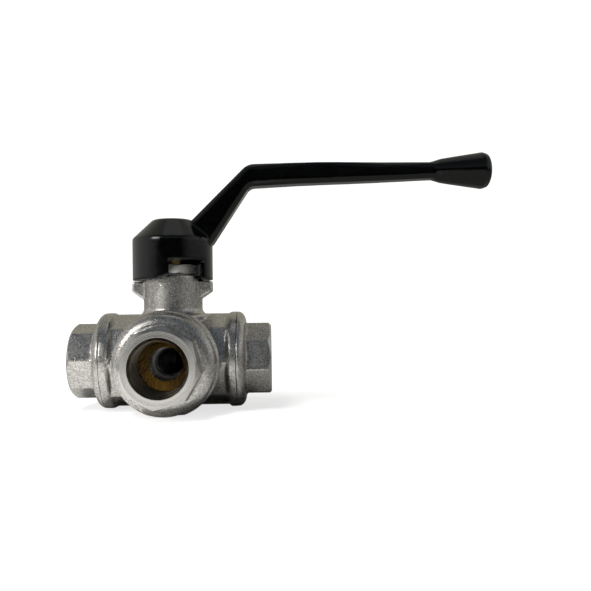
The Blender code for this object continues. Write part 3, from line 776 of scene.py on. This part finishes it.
def build_body():
    run = placed(prism(8, RUN_CORNER_RADIUS, -RIM_START - 0.4 * MM, RIM_START + 0.4 * MM), port_frame(DIRECTIONS["right"]))
    rims = [placed(port_rim(side), port_frame(direction)) for side, direction in DIRECTIONS.items()]
    pad = rod(6.0 * MM, 0, 6 * MM)
    post = block((-1.7 * MM, 10.8 * MM, level(26 * MM)), (1.7 * MM, 13.0 * MM, level(38 * MM)))
    body = cast("forged_body", joined(run, *rims, neck_column(), pad, ear(-1), ear(1), post), 0.42 * MM, 3)

    bore = SPIGOT_RADIUS + FIT_GAP
    bores = [
        placed(
            turned([(0, RIM_END + 2 * MM), (bore, RIM_END + 2 * MM), (bore, bore), (0, 0.2 * MM)], 96),
            port_frame(direction),
        )
        for direction in DIRECTIONS.values()
    ]
    trims = [
        placed(
            turned([(0, RIM_END + 3 * MM), (25 * MM, RIM_END + 3 * MM), (25 * MM, RIM_END), (0, RIM_END)]),
            port_frame(direction),
        )
        for direction in DIRECTIONS.values()
    ]
    chamber = turned(arc((0, 0), CHAMBER_RADIUS, 90, -90, 24), 64)
    bmesh.ops.translate(chamber, verts=chamber.verts, vec=(0, 0, PORT_HEIGHT))
    rear_pocket = placed(rod(SEAT_RADIUS + FIT_GAP, 5 * MM, SEAT_BACK + FIT_GAP), port_frame(REAR))
    stem_bore = turned(
        [
            (0, level(NECK_TOP + 1 * MM)),
            (GLAND_RADIUS, level(NECK_TOP + 1 * MM)),
            (GLAND_RADIUS, level(24 * MM)),
            (STEM_RADIUS + FIT_GAP, level(24 * MM)),
            (STEM_RADIUS + FIT_GAP, level(14.5 * MM)),
            (6.5 * MM, level(14.5 * MM)),
            (6.5 * MM, level(7 * MM)),
            (0, level(7 * MM)),
        ],
        96,
    )
    boss_flat = block((-21 * MM, -23 * MM, -5 * MM), (21 * MM, -14 * MM, LOWEST_FORGED))
    cut_from(body, *trims, *bores, chamber, rear_pocket, stem_bore, boss_flat)
    uneven(body, 0.035 * MM)
    body.data.materials.append(MATERIALS["forged"])
    shaded(body)
    stands_for(body, "valve_body", VALVE)


def build_gland_nut():
    """Hexagon with turned corners over a round spigot."""
    low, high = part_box("gland_nut")
    flats, crown = 9.0 * MM, 0.6 * MM
    start, end = level(33.7 * MM), high.z
    corners = flats / math.cos(math.pi / 6)
    wide = corners + 1 * MM
    nut = mesh_object("gland_hexagon_nut", prism(6, corners, start, end))
    upper = turned([(flats, end + 1 * MM), (wide, end + 1 * MM), (wide, end - crown * 1.8), (flats, end)])
    lower = turned([(flats, start), (wide, start + crown * 1.8), (wide, start - 1 * MM), (flats, start - 1 * MM)])
    cut_from(nut, upper, lower)
    united(nut, rod(GLAND_RADIUS - FIT_GAP, low.z, start + 1 * MM))
    cut_from(nut, rod(STEM_RADIUS + FIT_GAP, low.z - 1 * MM, end + 1 * MM))
    nut.data.transform(about_stem(GLAND_NUT_TURN))
    nut.data.materials.append(MATERIALS["satin"])
    rounded(nut, 0.15 * MM, 2, 25)
    shaded(nut)
    stands_for(nut, "gland_nut", VALVE)


# ---- Ball and stem ----------------------------------------------------------------------------------


def build_ball():
    ball = turned(arc((0, 0), BALL_RADIUS, 90, -90, 65), 128)
    bmesh.ops.translate(ball, verts=ball.verts, vec=(0, 0, PORT_HEIGHT))
    obj = mesh_object("chromed_ball", ball)
    elbow = turned(arc((0, 0), BALL_BORE_RADIUS, 90, -90, 25), 64)
    bmesh.ops.translate(elbow, verts=elbow.verts, vec=(0, 0, PORT_HEIGHT))
    legs = [
        placed(rod(BALL_BORE_RADIUS, 0, BALL_RADIUS + 2 * MM), port_frame(DIRECTIONS[side])) for side in ("front", "right")
    ]
    slot = block((-5.4 * MM, -2.3 * MM, level(7 * MM)), (5.4 * MM, 2.3 * MM, level(12 * MM)))
    cut_from(obj, elbow, *legs, slot)
    obj.data.materials.append(MATERIALS["chrome"])
    obj.data.materials.append(MATERIALS["bore"])
    rounded(obj, 0.12 * MM, 2, 30)
    centre = Vector((0, 0, PORT_HEIGHT))
    for face in obj.data.polygons:
        face.material_index = 0 if (face.center - centre).length > BALL_RADIUS - 0.1 * MM else 1
    shaded(obj)
    stands_for(obj, "ball", HANDLE)


def build_stem():
    """Stem with its grooves, square and a threaded end with a lead chamfer."""
    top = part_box("stem")[1].z
    half_groove, floor = 1.0 * MM, 3.5 * MM
    outline = [
        (0, top),
        (STEM_THREAD_RADIUS - 0.6 * MM, top),
        (STEM_THREAD_RADIUS - 0.25 * MM, top - 0.35 * MM),
        (STEM_THREAD_RADIUS - 0.25 * MM, level(RECESS_FLOOR - 0.4 * MM)),
        (STEM_RADIUS, level(RECESS_FLOOR - 0.4 * MM)),
    ]
    for middle in (20.6 * MM, 17.2 * MM):
        outline += [
            (STEM_RADIUS, level(middle + half_groove)),
            (floor, level(middle + half_groove)),
            (floor, level(middle - half_groove)),
            (STEM_RADIUS, level(middle - half_groove)),
        ]
    outline += [
        (STEM_RADIUS, level(12.95 * MM)),
        (6.2 * MM, level(12.95 * MM)),
        (6.2 * MM, level(10.9 * MM)),
        (0, level(10.9 * MM)),
    ]
    stem = mesh_object("turned_stem", turned(outline, 96))
    half, reach = STEM_SQUARE / 2, STEM_RADIUS + 1 * MM
    low, high = level(40.5 * MM), level(RECESS_FLOOR)
    cut_from(stem, *[placed(block((half, -reach, low), (reach, reach, high)), about_stem(90 * i)) for i in range(4)])
    tongue = block((-4.9 * MM, -2.0 * MM, level(7.3 * MM)), (4.9 * MM, 2.0 * MM, level(11.5 * MM)))
    ridge = thread_ridge(
        STEM_THREAD_RADIUS - 0.3 * MM, 0.3 * MM, level(RECESS_FLOOR + 0.9 * MM), top - 0.8 * MM, 1.0 * MM, 40
    )
    united(united(stem, tongue), ridge)
    stem.data.materials.append(MATERIALS["brass"])
    shaded(stem)
    stands_for(stem, "stem", HANDLE)


# ---- Handle -----------------------------------------------------------------------------------------


def arm_shell():
    """The cranked arm as a plate with bevelled long edges, slimmer towards the knob."""
    outer, inner = 7.0, 3.6
    knee = ((33.2, 70.2), (33.0, 64.7))
    outline = (
        [(3.0, 49.8), (8.0, 54.9)]
        + arc(knee[0], outer, 135, 92, 9)
        + [(60.0, 77.6), (KNOB_START / MM + 1.5, 77.6)]
        + [(KNOB_START / MM + 1.5, 71.1), (75.0, 69.9), (51.0, 69.2)]
        + arc(knee[1], inner, 95, 148, 8)
        + [(16.0, 45.6), (11.0, 44.8)]
    )
    bm = plate([(x * MM, level(z * MM)) for x, z in outline], 1 * MM)
    for station in (14, 34, 60, 85):
        geometry = bm.verts[:] + bm.edges[:] + bm.faces[:]
        bmesh.ops.bisect_plane(bm, geom=geometry, plane_co=(station * MM, 0, 0), plane_no=(1, 0, 0))
    for vertex in bm.verts:
        vertex.co.y *= arm_half_width(vertex.co.x / MM)
    long_edges = [
        edge
        for edge in bm.edges
        if abs(edge.verts[0].co.y - edge.verts[1].co.y) < 1 * MM and edge.calc_face_angle(0) > math.radians(50)
    ]
    bmesh.ops.bevel(bm, geom=long_edges, offset=1.4 * MM, affect="EDGES", segments=1, profile=0.5, material=-1)
    return bm


def arm_half_width(x):
    stations = ((0.0, 6.0), (14.0, 5.8), (34.0, 5.0), (105.0, 4.1))
    for (start, wide), (end, narrow) in zip(stations, stations[1:]):
        if x <= end:
            return wide + (narrow - wide) * max(x - start, 0) / (end - start)
    return stations[-1][1]


def hood_shell():
    return turned(
        [
            (0, level(HOOD_TOP)),
            (HOOD_TOP_RADIUS - 1.0 * MM, level(HOOD_TOP)),
            (HOOD_TOP_RADIUS + 0.2 * MM, level(HOOD_TOP - 0.5 * MM)),
            (HOOD_RADIUS - 0.2 * MM, level(HOOD_SHOULDER + 0.4 * MM)),
            (HOOD_RADIUS, level(HOOD_SHOULDER - 0.4 * MM)),
            (HOOD_RADIUS, level(SKIRT_BOTTOM)),
            (0, level(SKIRT_BOTTOM)),
        ],
        192,
    )


def knob_shell():
    flare = [(3.4, 102), (3.7, 104), (4.9, 108), (5.6, 112.5), (7.4, 124.6)]
    tip = HANDLE_REACH / MM
    dome = arc((0, 126.0), 6.9, 0, 90, 12)
    profile = [(r * MM, x * MM) for r, x in flare]
    profile += [(r * MM, (126.0 + (x - 126.0) * (tip - 126.0) / 6.9) * MM) for r, x in dome[:-1]] + [(0, HANDLE_REACH)]
    bm = turned([(0, profile[0][1])] + profile, 96)
    return placed(bm, Matrix.Translation((0, 0, level(KNOB_AXIS))) @ Matrix.Rotation(math.radians(90), 4, "Y"))


def window_shapes(turn):
    """A window through the skirt and the eased corner beside it."""
    start, end, count = math.radians(-87.8), math.radians(-31.0), 16
    inner, outer = HOOD_INNER_RADIUS - 1.5 * MM, HOOD_RADIUS + 2 * MM
    angles = [start + (end - start) * i / count for i in range(count + 1)]
    ring = [(outer * math.cos(a), outer * math.sin(a)) for a in angles]
    ring += [(inner * math.cos(a), inner * math.sin(a)) for a in reversed(angles)]
    bm = bmesh.new()
    face = bm.faces.new([bm.verts.new((x, y, level(SKIRT_BOTTOM - 2 * MM))) for x, y in ring])
    raised = bmesh.ops.extrude_face_region(bm, geom=[face])["geom"]
    rise = WINDOW_TOP - SKIRT_BOTTOM + 2 * MM
    bmesh.ops.translate(bm, verts=[v for v in raised if isinstance(v, bmesh.types.BMVert)], vec=(0, 0, rise))
    bmesh.ops.recalc_face_normals(bm, faces=bm.faces)
    ease = block((-14 * MM, -4 * MM, -6 * MM), (6 * MM, 4 * MM, 0))
    foot = Matrix.Translation((-4.3 * MM, -HOOD_RADIUS, level(SKIRT_BOTTOM)))
    placed(ease, foot @ Matrix.Rotation(math.radians(-20), 4, "Y"))
    return placed(bm, about_stem(turn)), placed(ease, about_stem(turn))


def build_handle():
    shell = mesh_object("lever_blank", hood_shell())
    hollow = rod(HOOD_INNER_RADIUS, level(SKIRT_BOTTOM - 2 * MM), level(HOOD_ROOF), 192)
    cut_from(shell, hollow, *window_shapes(0), *window_shapes(180))
    ribs = [
        placed(block((10.9 * MM, -1.25 * MM, level(34.5 * MM)), (14.4 * MM, 1.25 * MM, level(43 * MM))), about_stem(angle))
        for angle in (72.5, 197.5)
    ]
    shells = bmesh.new()
    shells.from_mesh(shell.data)
    bpy.data.objects.remove(shell)
    lever = cast("cast_lever", joined(shells, arm_shell(), knob_shell(), *ribs), 0.42 * MM, 4)
    recess = rod(RECESS_RADIUS, level(RECESS_FLOOR), level(HOOD_TOP + 12 * MM), 128)
    half = STEM_SQUARE / 2 + FIT_GAP
    square = block((-half, -half, level(HOOD_ROOF - 1 * MM)), (half, half, level(RECESS_FLOOR + 1 * MM)))
    cut_from(lever, recess, square)
    uneven(lever, 0.012 * MM)
    lever.data.materials.append(MATERIALS["black"])
    shaded(lever, 40)
    stands_for(lever, "handle", HANDLE)


def build_fastening():
    nut_low, nut_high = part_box("handle_nut")
    flats = 5.0 * MM
    nut = mesh_object("lever_nut", prism(6, flats / math.cos(math.pi / 6), nut_low.z, nut_high.z))
    crown = turned(
        [
            (flats * 0.97, nut_high.z + 0.3 * MM),
            (flats * 1.4, nut_high.z + 0.3 * MM),
            (flats * 1.4, nut_high.z - 0.8 * MM),
            (flats * 0.97, nut_high.z),
        ],
        96,
    )
    bore = STEM_THREAD_RADIUS + FIT_GAP
    cut_from(nut, crown, turned(
        [
            (0, nut_high.z + 0.5 * MM),
            (bore + 0.9 * MM, nut_high.z + 0.5 * MM),
            (bore, nut_high.z - 0.4 * MM),
            (bore, nut_low.z - 1 * MM),
            (0, nut_low.z - 1 * MM),
        ],
        96,
    ))
    nut.data.transform(about_stem(12))
    nut.data.materials.append(MATERIALS["zinc"])
    rounded(nut, 0.1 * MM, 2, 25)
    shaded(nut)
    stands_for(nut, "handle_nut", HANDLE)

    low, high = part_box("handle_spring_washer")
    section = [(3.2 * MM, high.z), (5.8 * MM, high.z), (5.8 * MM, low.z), (3.2 * MM, low.z)]
    washer = mesh_object("split_washer", turned(section, 96))
    split = block((0, -0.35 * MM, low.z - 1 * MM), (8 * MM, 0.35 * MM, high.z + 1 * MM))
    cut_from(washer, placed(split, about_stem(60)))
    washer.data.materials.append(MATERIALS["zinc"])
    rounded(washer, 0.08 * MM, 2)
    shaded(washer)
    stands_for(washer, "handle_spring_washer", HANDLE)


# ---- Hidden pieces that keep their CAD shape ---------------------------------------------------------


def finish_hidden_pieces():
    finishes = {"oring": "rubber", "packing": "ptfe", "thrust": "ptfe"}
    for name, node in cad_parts.items():
        for word, finish in finishes.items():
            if word in name:
                node.data.materials.clear()
                node.data.materials.append(MATERIALS[finish])


# ---- Stage --------------------------------------------------------------------------------------------


def build_stage():
    """A wide pale floor that glows for camera rays, painted light that keeps it bright where it is looked at and washes
    out its shadow; its colour holds a painted pool of light at the front left, with painted shade beyond it.
    """
    bm = bmesh.new()
    bmesh.ops.create_circle(bm, cap_ends=True, segments=64, radius=4.0)
    bmesh.ops.translate(bm, verts=bm.verts, vec=(0, 0, REST_HEIGHT - 0.02 * MM))
    floor = mesh_object("pale_floor", bm)
    material, tree, shader = new_material("pale_paper", (0.84, 0.84, 0.83), 0.0, 0.9)
    shader.inputs["Specular IOR Level"].default_value = 0.0
    shader.inputs["Emission Color"].default_value = (1, 1, 1, 1)
    away = tree.nodes.new("ShaderNodeVectorMath")
    away.operation = "LENGTH"
    place = tree.nodes.new("ShaderNodeTexCoord").outputs["Object"]
    tree.links.new(place, away.inputs[0])
    # Painted light: a glow for camera rays only, weaker near the valve, so the floor's shadow fades.
    camera_glow = remapped(tree, away.outputs["Value"], 0.05, 0.16, 0.72, 1.05)
    # Painted pool of light: pale within 75 mm of a point at the front left, dark grey painted shade beyond 130 mm, seen
    # in the valve's lower faces.
    pool = tree.nodes.new("ShaderNodeVectorMath")
    pool.operation = "DISTANCE"
    tree.links.new(place, pool.inputs[0])
    pool.inputs[1].default_value = (-0.06, -0.10, REST_HEIGHT)
    edge = remapped(tree, pool.outputs["Value"], 0.075, 0.13)
    tree.links.new(mixed_colour(tree, edge, (0.84, 0.84, 0.83), (0.26, 0.26, 0.25)), shader.inputs["Base Color"])
    looked_at = tree.nodes.new("ShaderNodeLightPath").outputs["Is Camera Ray"]
    tree.links.new(math_node(tree, "MULTIPLY", looked_at, camera_glow), shader.inputs["Emission Strength"])
    floor.data.materials.append(material)


def area_light(name, bearing, height, distance, size, brightness, colour=(1, 1, 1)):
    """A square softbox aimed at the valve. Bearing is in degrees from the front port, + to the right."""
    data = bpy.data.lights.new(name, "AREA")
    data.shape, data.size = "SQUARE", size
    data.energy, data.color = brightness * math.pi * size * size, colour
    light = bpy.data.objects.new(name, data)
    across, rise = math.radians(bearing), math.radians(height)
    out = Vector((math.cos(rise) * math.sin(across), -math.cos(rise) * math.cos(across), math.sin(rise)))
    light.location = Vector((0.02, 0, 0.04)) + out * distance
    light.rotation_euler = (-out).to_track_quat("-Z", "Y").to_euler()
    bpy.context.scene.collection.objects.link(light)
    return light


def studio_world():
    """The studio's own light: dark behind the camera, slate higher up, grey behind and at the sides."""
    world = bpy.data.worlds.new("studio")
    world.use_nodes = True
    tree = world.node_tree
    direction = tree.nodes.new("ShaderNodeTexCoord").outputs["Generated"]
    x, y, z = linked(tree, "ShaderNodeSeparateXYZ", Vector=direction).outputs
    front = mixed_colour(tree, remapped(tree, z, 0.17, 0.32), (0.005, 0.005, 0.006), (0.16, 0.18, 0.20))
    front = mixed_colour(tree, remapped(tree, z, 0.4, 0.65), front, (0.085, 0.10, 0.12))
    tone = mixed_colour(tree, remapped(tree, y, -0.25, 0.6), front, (0.40, 0.39, 0.34))
    tone = mixed_colour(tree, remapped(tree, x, -0.55, -0.95), tone, (0.62, 0.62, 0.62))
    right = mixed_colour(tree, remapped(tree, z, 0.0, 0.15), (0.10, 0.10, 0.10), (0.50, 0.50, 0.50))
    tone = mixed_colour(tree, remapped(tree, x, 0.5, 0.9), tone, right)
    seen = tree.nodes.new("ShaderNodeLightPath").outputs["Is Camera Ray"]
    tree.links.new(mixed_colour(tree, seen, tone, (1.1, 1.1, 1.1)), tree.nodes["Background"].inputs["Color"])
    bpy.context.scene.world = world


def build_lights():
    area_light("key_softbox", -44, 22, 0.8, 0.26, 7.5, (1.0, 0.985, 0.965))
    area_light("top_softbox", 0, 89, 0.9, 0.5, 0.22, (0.97, 0.985, 1.0))
    wash = area_light("floor_wash", -45, 66, 1.4, 0.5, 26.0)
    wash.visible_glossy = False
    studio_world()
    bpy.context.scene.view_settings.view_transform = "Standard"


def build_camera():
    """Level with the run, a little right of the front port, 0.27 m away."""
    data = bpy.data.cameras.new("camera")
    data.sensor_width, data.lens = 36.0, 41.457
    data.clip_start, data.clip_end = 0.01, 20.0
    camera = bpy.data.objects.new("camera", data)
    turn, tilt, roll = (math.radians(a) for a in (-1.703, 90 + 0.431, -0.749))
    place = Matrix.Translation((0.040611, -0.272910, level(0.022781)))
    camera.matrix_world = (
        place @ Matrix.Rotation(turn, 4, "Z") @ Matrix.Rotation(tilt, 4, "X") @ Matrix.Rotation(roll, 4, "Z")
    )
    bpy.context.scene.collection.objects.link(camera)
    bpy.context.scene.camera = camera


# ---- Making --------------------------------------------------------------------------------------------

build_camera()
for make_group in (blast_grain_group, worn_edge_group, lathe_marks_group):
    make_group()
MATERIALS = {
    "forged": forged_nickel(),
    "turned_x": turned_nickel("turned_nickel_x", "x"),
    "turned_y": turned_nickel("turned_nickel_y", "y"),
    "satin": satin_nickel(),
    "tapped": threaded_bore(),
    "black": black_coating(),
    "chrome": polished_chrome(),
    "bore": drilled_bore(),
    "brass": machined_brass(),
    "zinc": zinc_plate(),
    "ptfe": white_ptfe(),
    "rubber": seal_rubber(),
}
build_ends()
build_seats()
build_body()
build_gland_nut()
build_ball()
build_stem()
build_handle()
build_fastening()
finish_hidden_pieces()
build_stage()
build_lights()
